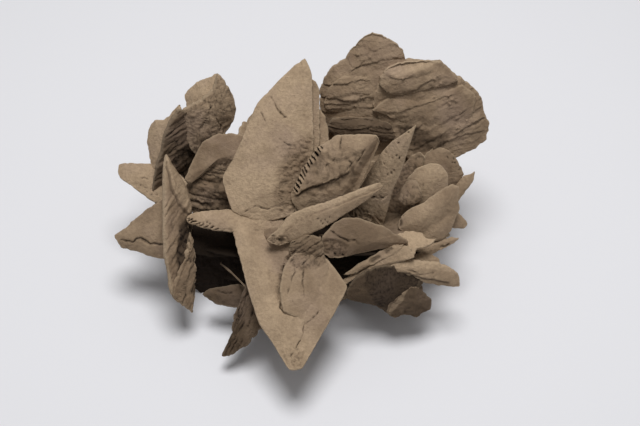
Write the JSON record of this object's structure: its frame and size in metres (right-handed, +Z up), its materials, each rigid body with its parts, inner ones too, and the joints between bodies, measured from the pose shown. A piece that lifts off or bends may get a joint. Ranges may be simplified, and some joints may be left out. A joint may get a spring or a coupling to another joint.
{
  "type": "gypsum sand rose",
  "caption": "Desert rose: blade-shaped gypsum crystals grown through one another into a single sandy stone rosette that rests on a flat foot.",
  "frame": {"origin": "on the resting plane, under the middle of the bounding box", "axes": "+Z up; -Y towards the side where the broad front leaf hangs down; +X to the right seen from that side"},
  "size_m": [0.3874, 0.3139, 0.2205],
  "materials": {
    "sand_gypsum": "matt, sandy, tan to brownish grey"
  },
  "bodies": {
    "root": {"sand_rose": "sand_gypsum"}
  },
  "joints": []
}
